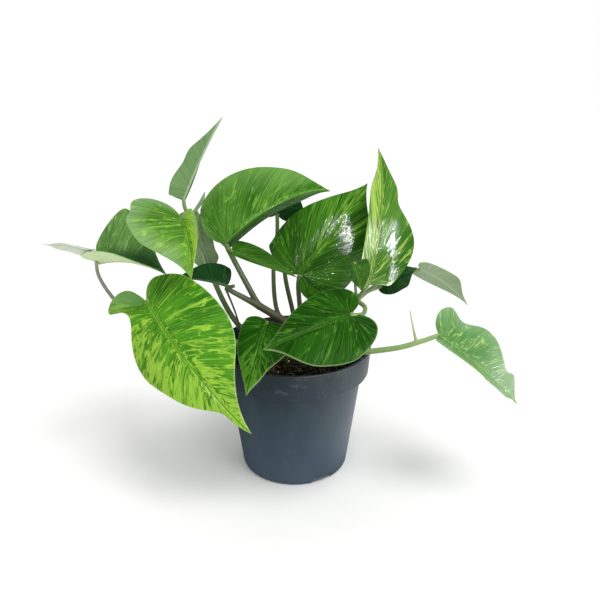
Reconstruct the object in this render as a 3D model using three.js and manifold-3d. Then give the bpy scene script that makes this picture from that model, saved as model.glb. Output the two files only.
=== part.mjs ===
// A potted pothos: a young trailing aroid in a plastic nursery pot. Units are millimetres, +Z is up,
// and the origin is the centre of the pot's base, on the surface it stands on. -Y is the front.
// The pot is a tapered shell on a grooved base. The soil fills it to just under the rim. The stems
// stand in plain holes in the soil, each with the stalks of its leaves, and every leaf blade is a
// piece of its own that ends a hair's breadth from its stalk.
import * as THREE from "three";
import { mergeVertices } from "three/addons/utils/BufferGeometryUtils.js";
import Module from "manifold-3d";

const wasm = await Module();
wasm.setup();

// ---- driving dimensions ----
const GAP = 0.35; // clearance kept between two pieces that touch

const pot = {
  height: 103,
  rimRadius: 60, // outside, at the top edge
  bandHeight: 21, // the upright band under the rim
  bandRadius: 58.6, // outside, at the band's foot
  wallRadius: 53.5, // outside, just under the band
  baseRadius: 43, // outside, at the foot
  footRound: 3, // rounding of the bottom corner
  edgeRound: 0.5, // rounding of the top edge and of the band's foot
  wall: 1.6,
  floor: 1.8,
  sides: 60,
};

const groove = {
  angles: [-59, 61, 181], // degrees from +X: three drainage grooves, which show as notches in the foot
  innerRadius: 14, // the middle of the base stays flat inside this radius
  width: 22, // at the mouth
  roofWidth: 16,
  height: 4.2,
  holeRadius: 4,
  holeAt: 29, // distance of each drain hole from the axis
  drill: 24, // length of the cutter of a hole, more than the floor needs
};

const soil = {
  top: 97, // mean height of the surface
  bottom: 8,
  lump: 1.5, // height of the lumps
  pitch: [16, 20, 36], // distance from lump to lump along X, along Y and slantwise
  rings: 8,
};

const blade = {
  thickness: 0.9,
  rows: 14, // veins along each half, from the sinus round the lobe to the tip
  columns: 4, // steps from the midrib to the margin
  smallLength: 58, // a blade shorter than this has fewer of both
  smallRows: 10,
  smallColumns: 3,
  veinSweep: 1.4, // how far the veins turn towards the tip on their way out
  ribCrowding: 3, // the veins spring closer together near the base the higher this is
  ribSpread: 0.04, // the share of their starts that is spread evenly along the midrib
  archGrowth: 1.3, // above 1 the midrib bends more and more towards the tip
};

// One half of a flat blade from the sinus round the lobe to the tip: x is a share of the half width,
// y a share of the midrib's length.
const HALF_OUTLINE = [
  [0, 0],
  [0.18, -0.11],
  [0.48, -0.15],
  [0.8, -0.07],
  [0.99, 0.12],
  [0.96, 0.32],
  [0.77, 0.51],
  [0.48, 0.68],
  [0.21, 0.83],
  [0.07, 0.93],
  [0, 1],
];

// Each blade: base and tip are the ends of its midrib, face is the way its upper side looks and half
// is the width of its left and right half, seen from the stalk with the upper side up. arch is the
// bend of the midrib from base to tip, fold raises each half from the midrib, curl turns it down
// again towards the margin, lobe scales how far each lobe reaches back past the stalk, wave is the
// margin's swing and waves how often it swings. Angles are in degrees. bays make a margin its own:
// each is a half (0 left, 1 right), the row of its middle, its spread and the share of the half's
// width that it draws in there, below zero where the margin swells out.
const leaves = {
  leaf_front_left: {
    base: [-104, -38, 151], tip: [-29, -78, 68], face: [-0.3, -0.8, 0.5],
    half: [32, 36], arch: 50, fold: [5, 5], curl: [25, 45], lobe: [0.6, 1.35], wave: 1.5, waves: 3,
    bays: [
      [1, 0.2, 0.11, -0.95], [1, 0.39, 0.07, 0.5], [1, 0.52, 0.09, -0.2],
      [1, 0.88, 0.08, 0.55], [0, 0.62, 0.2, -0.45],
    ],
  },
  leaf_front: {
    base: [39, -48, 145], tip: [-21, -75, 130], face: [-0.1, -0.85, 0.5],
    half: [31, 25], arch: 30, fold: [5, 5], curl: [25, 35], lobe: [1.6, 1.3], wave: 1, waves: 3,
    bays: [[0, 0.8, 0.15, -0.3], [0, 0.2, 0.1, -0.05], [1, 0.6, 0.15, 0.1]],
  },
  leaf_front_low: {
    base: [-19, -48, 139], tip: [-33, -70, 93], face: [-0.1, -0.85, 0.5],
    half: [21, 17], arch: 30, fold: [5, 5], curl: [30, 30], lobe: [0.15, 0.35], wave: 1, waves: 2,
    bays: [[0, 0.7, 0.12, 0.2], [0, 0.35, 0.08, -0.15]],
  },
  leaf_middle: {
    base: [4, 0, 159], tip: [55, 18, 225], face: [0.1, -0.9, 0.4],
    half: [38, 38], arch: 40, fold: [5, 0], curl: [60, 40], lobe: [0.4, 1], wave: 1, waves: 3,
    bays: [[0, 0.36, 0.05, -0.12], [1, 0.85, 0.12, -0.3]],
  },
  leaf_small_right: {
    base: [44, -18, 174], tip: [50, -22, 152], face: [0, -0.9, 0.4],
    half: [10, 8], arch: 10, fold: [10, 10], curl: [10, 10], lobe: [0.2, 0.2], wave: 0, waves: 2,
  },
  leaf_tall_right: {
    base: [55, -12, 155], tip: [62, 20, 251], face: [0.4, -0.9, 0.2],
    half: [11, 36], arch: 45, fold: [10, 0], curl: [20, 20], lobe: [0.2, 0], wave: 1, waves: 3,
    bays: [[1, 0.7, 0.08, 0.35], [1, 0.28, 0.17, 0.6], [1, 0.5, 0.09, -0.2], [0, 0.8, 0.12, -0.8]],
  },
  leaf_top: {
    base: [-51, 0, 183], tip: [28, 30, 217], face: [0, -0.65, 0.75],
    half: [43, 18], arch: 60, fold: [20, -95], curl: [30, 20], lobe: [0.5, 0.3], wave: 1, waves: 2,
    bays: [
      [0, 0.25, 0.12, 0.1], [0, 0.6, 0.2, -0.06], [0, 0.87, 0.12, -0.3],
      [1, 0.35, 0.15, 0.4], [1, 0.85, 0.1, -0.3],
    ],
  },
  leaf_behind_top: {
    base: [-14, 42, 197], tip: [-8, 50, 224], face: [0.1, -0.95, 0.3],
    half: [18, 20], arch: 20, fold: [10, 10], curl: [20, 20], lobe: [1, 1], wave: 0, waves: 2,
  },
  leaf_back: {
    base: [0, 46, 185], tip: [50, 72, 178], face: [0, 0.5, 0.85],
    half: [26, 26], arch: 40, fold: [15, 15], curl: [20, 20], lobe: [1, 1], wave: 1, waves: 3,
  },
  leaf_inner_middle: {
    base: [-46, -4, 178], tip: [3, -18, 162], face: [0.2, -0.6, 0.75],
    half: [13, 3], arch: 5, fold: [5, 5], curl: [10, 10], lobe: [0.3, 0.3], wave: 0, waves: 2,
  },
  leaf_inner_left: {
    base: [-51, -8, 152], tip: [-89, -14, 160], face: [0, -0.4, 0.9],
    half: [16, 16], arch: 30, fold: [50, 35], curl: [10, 10], lobe: [0.3, 0.3], wave: 0, waves: 2,
  },
  leaf_left: {
    base: [-79, -12, 204], tip: [-69, -50, 171], face: [0.35, -0.5, 0.75],
    half: [12, 44], arch: 50, fold: [75, 12], curl: [10, 15], lobe: [0.2, 2.6], wave: 1, waves: 2,
    bays: [[1, 0.22, 0.12, -0.2], [1, 0.42, 0.08, 0.08], [1, 0.72, 0.12, -0.2]],
  },
  leaf_tall_left: {
    base: [-82, 8, 214], tip: [-52, 18, 273], face: [-0.8, 0.6, 0.2],
    half: [15, 15], arch: 10, fold: [45, 45], curl: [10, 10], lobe: [0, 0], wave: 1, waves: 2,
    bays: [[1, 0.55, 0.08, 0.25], [1, 0.38, 0.08, 0.1]],
  },
  leaf_behind_left: {
    base: [-76, 15, 198], tip: [-66, 15, 150], face: [-0.5, 0.85, 0.1],
    half: [16, 16], arch: 20, fold: [20, 20], curl: [10, 10], lobe: [1, 1], wave: 0, waves: 2,
    bays: [[1, 0.2, 0.1, -0.6], [1, 0.6, 0.2, 0.4]],
  },
  leaf_far_left: {
    base: [-155, 26, 160], tip: [-91, -24, 166], face: [0.1, -0.3, 0.9],
    half: [38, 20], arch: 30, fold: [50, 50], curl: [10, 10], lobe: [1, 0.2], wave: 1, waves: 2,
    bays: [[0, 0.42, 0.1, -0.3]],
  },
  leaf_far_left_tip: {
    base: [-161, 22, 172.5], tip: [-193, 10, 180], face: [0, 0.2, 1],
    half: [15, 12], arch: 20, fold: [10, -30], curl: [10, 10], lobe: [0.6, 0.6], wave: 1, waves: 2,
  },
  leaf_right: {
    base: [68, 14, 149], tip: [95, 9, 162], face: [0.1, -0.9, 0.3],
    half: [13, 13], arch: 30, fold: [0, 0], curl: [20, 20], lobe: [1, 1], wave: 0, waves: 2,
    bays: [[1, 0.75, 0.12, -0.4]],
  },
  leaf_far_right: {
    base: [99, 18, 158], tip: [138, 14, 129], face: [0.3, 0.8, 0.5],
    half: [11, 10], arch: 40, fold: [10, 10], curl: [10, 10], lobe: [0.6, 0.6], wave: 0, waves: 2,
    bays: [[1, 0.72, 0.15, -0.8]],
  },
  leaf_low_right: {
    base: [104, -40, 126], tip: [160, -55, 79], face: [0.35, -0.75, 0.55],
    half: [35, 17], arch: 20, fold: [0, 50], curl: [20, 10], lobe: [0.85, 0.1], wave: 2, waves: 2,
    bays: [
      [0, 0.45, 0.06, 0.3], [0, 0.62, 0.08, -0.1], [0, 0.92, 0.06, -1.6],
      [1, 0.7, 0.1, -0.2], [1, 0.9, 0.07, -1.6],
    ],
  },
};

// Each stem is a list of limbs: the radius at its start and at its end, then the points it passes.
const stems = {
  stem_centre: [
    {
      radii: [3.6, 3.0],
      path: [[4, 6, 80], [2, 8, 98], [-8, 12, 115.5], [-18, 9, 124], [-28, 5, 132]],
    },
    { radii: [2.6, 1.8], path: [[-28, 5, 132], [-40, 0, 141], [-52, -5, 150]] },
    { radii: [1.6, 1.3], path: [[-52, -5, 150], [-45, -6, 152]] },
    { radii: [2.4, 2.0], path: [[-28, 5, 132], [-40, 4, 157], [-50, 2, 179]] },
    { radii: [1.8, 1.5], path: [[-50, 2, 179], [-51, 1, 183]] },
    { radii: [1.5, 1.2], path: [[-50, 2, 179], [-46, -4, 178]] },
    { radii: [0.9, 0.4], path: [[-50, 2, 179], [-57, 2, 185]] },
    {
      radii: [1.9, 1.6],
      path: [[-8, 12, 115], [-14, 15, 124], [-17, 28, 156], [-14, 38, 183], [-14, 42, 197]],
    },
    {
      radii: [2.0, 1.7],
      path: [[2, 8, 98], [-1, 18, 119], [-8, 30, 152], [-6, 40, 172], [0, 46, 185]],
    },
    { radii: [2.2, 1.8], path: [[2, 8, 98], [5, 9, 115], [4, 8, 132], [3, 3, 150], [4, 0, 159]] },
    { radii: [0.9, 0.6], path: [[-52, -4, 149], [-46, 5, 125], [-42, 12, 100], [-40, 14, 88]] },
  ],
  stem_left: [
    {
      radii: [2.4, 2.0],
      path: [[-30, 18, 82], [-38, 20, 98], [-52, 22, 118], [-62, 20, 142], [-71, 18, 173], [-78, 12, 201]],
    },
    { radii: [1.7, 1.4], path: [[-78, 12, 201], [-81.5, 9, 208], [-82, 8, 214]] },
    { radii: [1.7, 1.5], path: [[-78, 12, 201], [-80, 2, 206], [-79, -12, 204]] },
    { radii: [1.5, 1.3], path: [[-78, 12, 201], [-76, 15, 198]] },
    { radii: [1.2, 1.6], path: [[-78, 12, 201], [-69, 14, 213]] },
    { radii: [1.6, 0.4], path: [[-69, 14, 213], [-67, 15, 219]] },
  ],
  stem_right: [
    { radii: [3.0, 2.4], path: [[22, 2, 80], [26, 0, 98], [38, -5, 122], [47, -8, 141]] },
    { radii: [1.8, 1.5], path: [[47, -8, 141], [51, -10, 148], [55, -12, 155]] },
    { radii: [1.7, 1.4], path: [[47, -8, 141], [56, 0, 145.5], [68, 14, 149]] },
    { radii: [1.5, 1.3], path: [[56, 0, 145.5], [72, 18, 145], [88, 22, 151], [99, 18, 158]] },
    {
      radii: [1.8, 1.5],
      path: [[47, -8, 141], [55, -20, 140], [53, -36, 140], [45, -45, 143], [39, -48, 145]],
    },
    { radii: [1.2, 1.0], path: [[47, -8, 141], [45, -11, 160], [44, -18, 174]] },
  ],
  stem_low_right: [
    {
      radii: [2.6, 1.8],
      path: [
        [30, -14, 80], [34, -18, 98], [44, -23, 104], [57, -26, 107],
        [78, -32, 113], [91, -36, 119], [104, -40, 126],
      ],
    },
    { radii: [1.2, 0.4], path: [[89, -35, 118], [86, -35, 130], [83, -34, 143]] },
  ],
  stem_far_left: [
    {
      radii: [1.8, 1.4],
      path: [
        [-25, -12, 82], [-32, -13, 98], [-60, -18, 117], [-91, -20, 130],
        [-125, -8, 130], [-144, 5, 143], [-154, 15, 155], [-157, 23, 164],
      ],
    },
    { radii: [1.3, 1.1], path: [[-157, 23, 164], [-155, 26, 160]] },
    { radii: [1.3, 1.1], path: [[-157, 23, 164], [-161, 22, 172.5]] },
  ],
  stem_front_left: [
    {
      radii: [2.4, 1.8],
      path: [
        [-14, -20, 82], [-22, -24, 98], [-50, -28, 120],
        [-80, -28, 146], [-98, -34, 152], [-104, -38, 151],
      ],
    },
  ],
  stem_front_low: [
    {
      radii: [2.0, 1.5],
      path: [[-4, -22, 82], [-6, -26, 98], [-10, -36, 120], [-15, -43, 132], [-19, -48, 139]],
    },
  ],
};

const NODE_SWELLING = 1.15; // a limb's start swells to this much of its radius
const LIMB_SIDES = 8;
const LIMB_STEP = 11; // length of one straight piece of a limb

// ---- small helpers ----
const rad = THREE.MathUtils.degToRad;
const vec = (p) => new THREE.Vector3(...p);

// A closed geometry as a manifold solid, turned the right way out.
function solidOf(geometry) {
  const bare = new THREE.BufferGeometry();
  const flat = geometry.index ? geometry.toNonIndexed() : geometry;
  bare.setAttribute("position", flat.getAttribute("position").clone());
  const merged = mergeVertices(bare, 1e-4);
  const corners = merged.attributes.position.array;
  const at = (i) => new THREE.Vector3(corners[3 * i], corners[3 * i + 1], corners[3 * i + 2]);
  const triangles = [];
  let volume = 0;
  for (let t = 0; t < merged.index.count; t += 3) {
    const [i, j, k] = merged.index.array.slice(t, t + 3);
    if (i === j || j === k || k === i) continue;
    triangles.push(i, j, k);
    volume += at(i).dot(at(j).cross(at(k)));
  }
  if (volume < 0) triangles.reverse();
  return new wasm.Manifold(
    new wasm.Mesh({
      numProp: 3,
      vertProperties: new Float32Array(corners),
      triVerts: new Uint32Array(triangles),
    }),
  );
}

// A manifold solid's largest body as a geometry; scraps that a cut leaves loose are dropped.
function geometryOf(solid) {
  const bodies = solid.decompose().sort((a, b) => b.volume() - a.volume());
  const mesh = bodies[0].getMesh();
  const geometry = new THREE.BufferGeometry();
  geometry.setAttribute("position", new THREE.BufferAttribute(mesh.vertProperties, 3));
  geometry.setIndex(new THREE.BufferAttribute(mesh.triVerts, 1));
  return geometry;
}

// A solid of revolution about Z from its outline, which starts and ends on the axis.
function turned(outline) {
  const points = outline.map(([radius, height]) => new THREE.Vector2(radius, height));
  return new THREE.LatheGeometry(points, pot.sides).rotateX(Math.PI / 2);
}

// ---- the pot ----
const innerRim = pot.rimRadius - pot.wall;
const innerBand = pot.bandRadius - pot.wall;
const innerWall = pot.wallRadius - pot.wall;
const innerBase = pot.baseRadius - pot.wall;
const bandFoot = pot.height - pot.bandHeight;
const ledge = bandFoot + pot.wall; // height of the ledge inside the band

// Inside radius of the pot below the ledge.
const wallRadiusAt = (z) => THREE.MathUtils.mapLinear(z, pot.floor, ledge, innerBase, innerWall);
// Inside radius of the band, above the ledge.
const bandRadiusAt = (z) => THREE.MathUtils.mapLinear(z, ledge, pot.height, innerBand, innerRim);

// A bar along +X from the middle of the base outwards, with the groove's section grown by some wall.
function grooveBar(grow, start, end) {
  const section = new THREE.Shape([
    new THREE.Vector2(-groove.width / 2 - grow, -1),
    new THREE.Vector2(groove.width / 2 + grow, -1),
    new THREE.Vector2(groove.roofWidth / 2 + grow, groove.height + grow),
    new THREE.Vector2(-groove.roofWidth / 2 - grow, groove.height + grow),
  ]);
  const bar = new THREE.ExtrudeGeometry(section, { depth: end - start, bevelEnabled: false });
  return bar.rotateX(Math.PI / 2).rotateZ(Math.PI / 2).translate(start, 0, 0);
}

function buildPot() {
  const round = pot.footRound;
  const foot = [0, 30, 60, 90].map((a) => [
    pot.baseRadius - round + round * Math.sin(rad(a)),
    round - round * Math.cos(rad(a)),
  ]);
  const outside = turned([
    [0, 0],
    ...foot,
    [pot.wallRadius, bandFoot],
    [pot.bandRadius - pot.edgeRound, bandFoot],
    [pot.bandRadius, bandFoot + pot.edgeRound],
    [pot.rimRadius, pot.height - pot.edgeRound],
    [pot.rimRadius - pot.edgeRound, pot.height],
    [0, pot.height],
  ]);
  const inside = turned([
    [0, pot.floor],
    [innerBase, pot.floor],
    [innerWall, ledge],
    [innerBand, ledge],
    [innerRim, pot.height + 1],
    [0, pot.height + 1],
  ]);
  let cavity = solidOf(inside);
  let shell = solidOf(outside);
  const turn = (geometry, angle) => solidOf(geometry.rotateZ(rad(angle)));
  for (const angle of groove.angles) {
    const bar = grooveBar(pot.floor, groove.innerRadius - pot.floor, pot.rimRadius);
    cavity = cavity.subtract(turn(bar, angle));
  }
  shell = shell.subtract(cavity);
  for (const angle of groove.angles) {
    shell = shell.subtract(turn(grooveBar(0, groove.innerRadius, pot.rimRadius), angle));
    const hole = new THREE.CylinderGeometry(groove.holeRadius, groove.holeRadius, groove.drill, 24);
    shell = shell.subtract(turn(hole.rotateX(Math.PI / 2).translate(groove.holeAt, 0, 0), angle));
  }
  return shell;
}

// ---- the soil ----
// Height of the lumpy surface over the point x, y.
function soilHeight(x, y) {
  const swing = (distance, pitch) => Math.sin((2 * Math.PI * distance) / pitch);
  const [along, deep, slant] = soil.pitch;
  return soil.top + (soil.lump / 2) * (swing(x, along) * swing(y, deep) + swing(x - y, slant));
}

function buildSoil() {
  const { top, bottom, rings } = soil;
  const edge = bandRadiusAt(top) - GAP;
  const geometry = turned([
    [0, bottom],
    [wallRadiusAt(bottom) - GAP, bottom],
    [innerWall - GAP, ledge + GAP],
    [innerBand - GAP, ledge + GAP],
    ...Array.from({ length: rings + 1 }, (_, i) => [edge * (1 - i / rings), top]),
  ]);
  const vertices = geometry.attributes.position;
  for (let i = 0; i < vertices.count; i++) {
    const [x, y, z] = [vertices.getX(i), vertices.getY(i), vertices.getZ(i)];
    if (z === top && Math.hypot(x, y) < edge - GAP) vertices.setZ(i, soilHeight(x, y));
  }
  return solidOf(geometry);
}

// ---- stems ----
// A closed round limb along a smooth path, grown all over by some clearance.
function buildLimb({ radii, path }, grow = 0) {
  const curve = new THREE.CatmullRomCurve3(path.map(vec), false, "centripetal");
  const steps = Math.max(2, Math.round(curve.getLength() / LIMB_STEP));
  const frames = curve.computeFrenetFrames(steps, false);
  const position = [];
  const rings = [];
  for (let s = 0; s <= steps; s++) {
    const share = s / steps;
    const swell = s === 0 ? NODE_SWELLING : 1;
    const radius = THREE.MathUtils.lerp(radii[0], radii[1], share) * swell + grow;
    const end = s === 0 ? -grow : s === steps ? grow : 0;
    const centre = curve.getPointAt(share).addScaledVector(frames.tangents[s], end);
    rings.push(
      Array.from({ length: LIMB_SIDES }, (_, i) => {
        const a = (2 * Math.PI * i) / LIMB_SIDES;
        return centre
          .clone()
          .addScaledVector(frames.normals[s], radius * Math.cos(a))
          .addScaledVector(frames.binormals[s], radius * Math.sin(a));
      }),
    );
  }
  const triangle = (...corners) => corners.forEach((p) => position.push(...p.toArray()));
  for (let s = 0; s < steps; s++) {
    for (let i = 0; i < LIMB_SIDES; i++) {
      const next = (i + 1) % LIMB_SIDES;
      triangle(rings[s][i], rings[s][next], rings[s + 1][next]);
      triangle(rings[s][i], rings[s + 1][next], rings[s + 1][i]);
    }
  }
  for (let i = 1; i < LIMB_SIDES - 1; i++) {
    triangle(rings[0][0], rings[0][i + 1], rings[0][i]);
    triangle(rings[steps][0], rings[steps][i], rings[steps][i + 1]);
  }
  const geometry = new THREE.BufferGeometry();
  geometry.setAttribute("position", new THREE.Float32BufferAttribute(position, 3));
  return solidOf(geometry);
}

function buildStem(limbs, grow = 0) {
  return limbs.map((limb) => buildLimb(limb, grow)).reduce((a, b) => a.add(b));
}

// ---- leaf blades ----
const halfOutline = new THREE.SplineCurve(HALF_OUTLINE.map(([x, y]) => new THREE.Vector2(x, y)));

// The midrib as a line of unit length in its own plane, x forwards and y up, turning by arch in all.
function unitMidrib(arch) {
  const steps = 24;
  const points = [new THREE.Vector2(0, 0)];
  for (let i = 0; i < steps; i++) {
    const angle = -arch * ((i + 0.5) / steps) ** blade.archGrowth;
    const last = points[i];
    points.push(new THREE.Vector2(last.x + Math.cos(angle) / steps, last.y + Math.sin(angle) / steps));
  }
  return points;
}

// Returns at(row, reach, sign): a point of the blade's middle surface. row runs from the sinus round
// the margin to the tip, reach from the midrib to the margin, and sign is -1 on the left half.
function bladeSurface(leaf) {
  const base = vec(leaf.base);
  const chord = vec(leaf.tip).sub(base);
  const arch = rad(leaf.arch);
  const line = unitMidrib(arch);
  const end = line[line.length - 1];
  const length = chord.length() / end.length();
  const along = chord.clone().normalize();
  const side = along.clone().cross(vec(leaf.face)).normalize();
  const up = side.clone().cross(along);
  const droop = Math.atan2(end.y, end.x); // the chord's angle in the midrib's own plane
  const forward = along.clone().applyAxisAngle(side, -droop);
  const above = up.clone().applyAxisAngle(side, -droop);
  const rib = (share) => {
    const steps = line.length - 1;
    const f = Math.min(Math.max(share, 0), 1) * steps;
    const i = Math.min(Math.floor(f), steps - 1);
    const point = line[i].clone().lerp(line[i + 1], f - i);
    if (share < 0) point.x += share;
    return { point, angle: share < 0 ? 0 : -arch * share ** blade.archGrowth };
  };
  return (row, reach, sign) => {
    const own = sign < 0 ? 0 : 1;
    const [half, fold, curl] = [leaf.half[own], rad(leaf.fold[own]), rad(leaf.curl[own])];
    const margin = halfOutline.getPointAt(row);
    if (margin.y < 0) margin.y *= leaf.lobe[own];
    for (const [bayHalf, middle, spread, depth] of leaf.bays ?? []) {
      if (bayHalf === own) margin.x *= 1 - depth * Math.exp(-(((row - middle) / spread) ** 2));
    }
    const start = THREE.MathUtils.lerp(row ** blade.ribCrowding, row, blade.ribSpread);
    const share = start + (margin.y - start) * reach ** blade.veinSweep;
    const out = margin.x * reach;
    const lift = (Math.cos(fold - curl * out) - Math.cos(fold)) / curl;
    const across = (Math.sin(fold) - Math.sin(fold - curl * out)) / curl;
    const wave = leaf.wave * Math.sin(2 * Math.PI * leaf.waves * row + sign); // the halves out of step
    const swing = wave * reach ** 2 * Math.sqrt(Math.sin(Math.PI * row)); // none at the sinus and tip
    const { point, angle } = rib(share);
    return base
      .clone()
      .addScaledVector(forward, point.x * length)
      .addScaledVector(above, point.y * length)
      .addScaledVector(side, sign * across * half)
      .addScaledVector(above.clone().applyAxisAngle(side, angle), lift * half + swing);
  };
}

// The blade as one closed sheet: rows of points from margin to margin, with a point at the base and
// one at the tip, split into triangles alike on both faces.
function buildBlade(leaf) {
  const at = bladeSurface(leaf);
  const small = vec(leaf.tip).distanceTo(vec(leaf.base)) < blade.smallLength;
  const rows = small ? blade.smallRows : blade.rows;
  const columns = small ? blade.smallColumns : blade.columns;
  const { thickness } = blade;
  const points = [];
  const index = [];
  for (let r = 0; r <= rows; r++) {
    const reachOut = r === 0 || r === rows ? 0 : columns;
    index.push([]);
    for (let c = -reachOut; c <= reachOut; c++) {
      index[r].push(points.length);
      points.push(at(r / rows, Math.abs(c) / columns, c < 0 ? -1 : 1));
    }
  }
  const faces = [];
  for (let r = 0; r < rows; r++) {
    const [a, b] = [index[r], index[r + 1]];
    for (let i = 0; i < 2 * columns; i++) {
      if (r < rows - 1) faces.push([a[r ? i : 0], b[i + 1], b[i]]);
      if (r > 0) faces.push([a[i], a[i + 1], b[r < rows - 1 ? i + 1 : 0]]);
    }
  }
  const normals = points.map(() => new THREE.Vector3());
  for (const [i, j, k] of faces) {
    const normal = points[j].clone().sub(points[i]).cross(points[k].clone().sub(points[i]));
    [i, j, k].forEach((corner) => normals[corner].add(normal));
  }
  normals.forEach((normal) => normal.normalize());
  const top = points.map((p, i) => p.clone().addScaledVector(normals[i], thickness / 2));
  const bottom = points.map((p, i) => p.clone().addScaledVector(normals[i], -thickness / 2));
  const position = [];
  const triangle = (...corners) => corners.forEach((p) => position.push(...p.toArray()));
  for (const [i, j, k] of faces) {
    triangle(top[i], top[j], top[k]);
    triangle(bottom[i], bottom[k], bottom[j]);
  }
  const rim = [
    ...index.map((line) => line[0]),
    ...index.slice(1, rows).reverse().map((line) => line[line.length - 1]),
  ];
  rim.forEach((a, i) => {
    const b = rim[(i + 1) % rim.length];
    triangle(top[a], top[b], bottom[b]);
    triangle(top[a], bottom[b], bottom[a]);
  });
  const geometry = new THREE.BufferGeometry();
  geometry.setAttribute("position", new THREE.Float32BufferAttribute(position, 3));
  return solidOf(geometry);
}

// ---- materials ----
const materials = {
  pot: new THREE.MeshStandardMaterial({ color: 0x333f48, roughness: 0.55, metalness: 0 }),
  soil: new THREE.MeshStandardMaterial({ color: 0x2e221a, roughness: 1, metalness: 0 }),
  stem: new THREE.MeshStandardMaterial({ color: 0x6f8f4a, roughness: 0.6, metalness: 0 }),
  leaf: new THREE.MeshStandardMaterial({ color: 0x4c8a27, roughness: 0.4, metalness: 0 }),
};

// ---- assembly ----
const plant = new THREE.Group();
plant.name = "potted_pothos";

function place(name, solid, material) {
  const mesh = new THREE.Mesh(geometryOf(solid), material);
  mesh.name = name;
  plant.add(mesh);
}

place("pot", buildPot(), materials.pot);

const clearance = Object.values(stems)
  .map((limbs) => buildStem(limbs, GAP))
  .reduce((a, b) => a.add(b));
place("soil", buildSoil().subtract(clearance), materials.soil);

for (const [name, limbs] of Object.entries(stems)) place(name, buildStem(limbs), materials.stem);
for (const [name, leaf] of Object.entries(leaves)) {
  place(name, buildBlade(leaf).subtract(clearance), materials.leaf);
}

export default plant;
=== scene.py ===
import math
import random

import bpy
from mathutils import Matrix, Vector, noise


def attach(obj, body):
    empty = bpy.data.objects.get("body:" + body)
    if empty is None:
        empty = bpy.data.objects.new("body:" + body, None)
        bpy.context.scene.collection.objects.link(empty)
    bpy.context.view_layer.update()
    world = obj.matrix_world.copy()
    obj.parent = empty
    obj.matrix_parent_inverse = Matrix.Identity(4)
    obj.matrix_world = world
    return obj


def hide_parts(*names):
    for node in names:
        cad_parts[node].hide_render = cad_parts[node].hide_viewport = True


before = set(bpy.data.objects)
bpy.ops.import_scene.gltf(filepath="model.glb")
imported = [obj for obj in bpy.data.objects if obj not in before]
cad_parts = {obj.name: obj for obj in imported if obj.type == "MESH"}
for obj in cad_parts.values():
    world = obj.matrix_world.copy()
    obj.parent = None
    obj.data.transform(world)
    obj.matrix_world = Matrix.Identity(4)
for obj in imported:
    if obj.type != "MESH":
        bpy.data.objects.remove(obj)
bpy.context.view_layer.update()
bpy.ops.object.select_all(action="DESELECT")

# ---- the studio ----
# A pale seamless floor in even white light. Two tall narrow lamps on the right show only in the
# gloss of the leaves, and a white card laid at the right only in the pot's edge. The camera looks
# a little down on the pot.
STAND = math.radians(19.7)  # the camera's height over the pot, as an angle
CAMERA_FAR, SENSOR, LENS = 0.48, 36, 37.4  # metres, then millimetres
aim = Vector((0.0043, 0, 0.1385))
towards_camera = Vector((0, -math.cos(STAND), math.sin(STAND)))
bpy.ops.object.camera_add(location=aim + CAMERA_FAR * towards_camera)
camera = bpy.context.object
camera.rotation_euler = (math.pi / 2 - STAND, 0, 0)
camera.data.sensor_width, camera.data.lens = SENSOR, LENS
camera.data.clip_start, camera.data.clip_end = 0.01, 50
bpy.context.scene.camera = camera
bpy.context.scene.view_settings.view_transform = "Standard"


def colour(code):
    """A hex sRGB colour as linear RGBA."""
    parts = [int(code[i : i + 2], 16) / 255 for i in (1, 3, 5)]
    return (*[p / 12.92 if p <= 0.04045 else ((p + 0.055) / 1.055) ** 2.4 for p in parts], 1)


def new_material(name):
    """An empty material, with its shader."""
    material = bpy.data.materials.new(name)
    material.use_nodes = True
    return material, material.node_tree.nodes["Principled BSDF"]


def add_node(owner, kind, inputs=None, stops=None, **settings):
    """Adds a shader node. Each input is a value or the output that feeds it; stops fill a ramp with
    hex colours."""
    made = owner.node_tree.nodes.new("ShaderNode" + kind)
    for name, value in settings.items():
        setattr(made, name, value)
    for name, value in (inputs or {}).items():
        if isinstance(value, bpy.types.NodeSocket):
            owner.node_tree.links.new(value, made.inputs[name])
        else:
            made.inputs[name].default_value = value
    for i, (position, code) in enumerate(stops or []):
        ramp = made.color_ramp.elements
        stop = ramp[i] if i < 2 else ramp.new(position)
        stop.position, stop.color = position, colour(code)
    return made


def finish_shader(shader, **inputs):
    """Sets the shader's sockets; an underscore stands for a space in a socket's name."""
    links = shader.id_data.links
    for name, value in inputs.items():
        socket = shader.inputs[name.replace("_", " ")]
        if isinstance(value, bpy.types.NodeSocket):
            links.new(value, socket)
        else:
            socket.default_value = value


# Matt painted board: pale and even, so that only soft shadows show on it.
bpy.ops.mesh.primitive_plane_add(size=8, location=(0, 0, 0))
floor = bpy.context.object
floor.name = "floor"
board, shader = new_material("painted_studio_floor")
spot = add_node(board, "TexCoord").outputs["Object"]
mottle = add_node(board, "TexNoise", {"Vector": spot, "Scale": 6, "Detail": 3}).outputs["Fac"]
tint = add_node(board, "ValToRGB", {"Fac": mottle}, [(0.3, "#f3f3f2"), (0.7, "#f6f6f5")])
finish_shader(shader, Base_Color=tint.outputs["Color"], Roughness=0.9, Specular_IOR_Level=0.1)
floor.data.materials.append(board)
floor.visible_glossy = False


def gloss_lamp(name, place, at, width, height, watts):
    """A tall narrow lamp that faces a point of the plant and shows only in its gloss."""
    bpy.ops.object.light_add(type="AREA", location=place)
    lamp = bpy.context.object
    lamp.name = name
    lamp.rotation_euler = (Vector(at) - Vector(place)).to_track_quat("-Z", "Y").to_euler()
    lamp.data.shape, lamp.data.size, lamp.data.size_y = "RECTANGLE", width, height
    lamp.data.energy = watts
    lamp.visible_diffuse = lamp.visible_camera = False


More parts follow.
